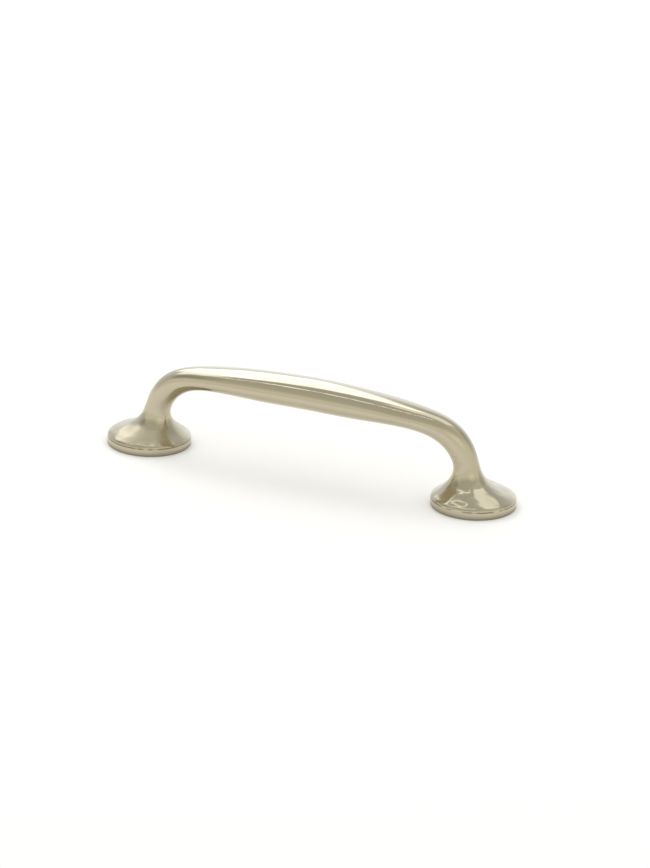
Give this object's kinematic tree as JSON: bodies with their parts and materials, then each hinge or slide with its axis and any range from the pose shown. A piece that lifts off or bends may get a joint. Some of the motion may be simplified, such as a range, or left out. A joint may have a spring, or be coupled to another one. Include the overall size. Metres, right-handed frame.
{
  "type": "cabinet handle",
  "caption": "Bow-shaped cabinet handle cast in one piece: round flared feet, leaning legs and a flat oval grip that swells in the middle, screwed on from behind.",
  "frame": {"origin": "on the mounting plane, midway between the two screw holes", "axes": "+X along the handle from foot to foot, +Z out of the mounting plane towards the grip"},
  "size_m": [0.119, 0.023, 0.027],
  "materials": {
    "nickel_plate": "polished warm nickel plating over a zinc alloy casting"
  },
  "bodies": {
    "root": {"bow_handle": "nickel_plate"}
  },
  "joints": []
}
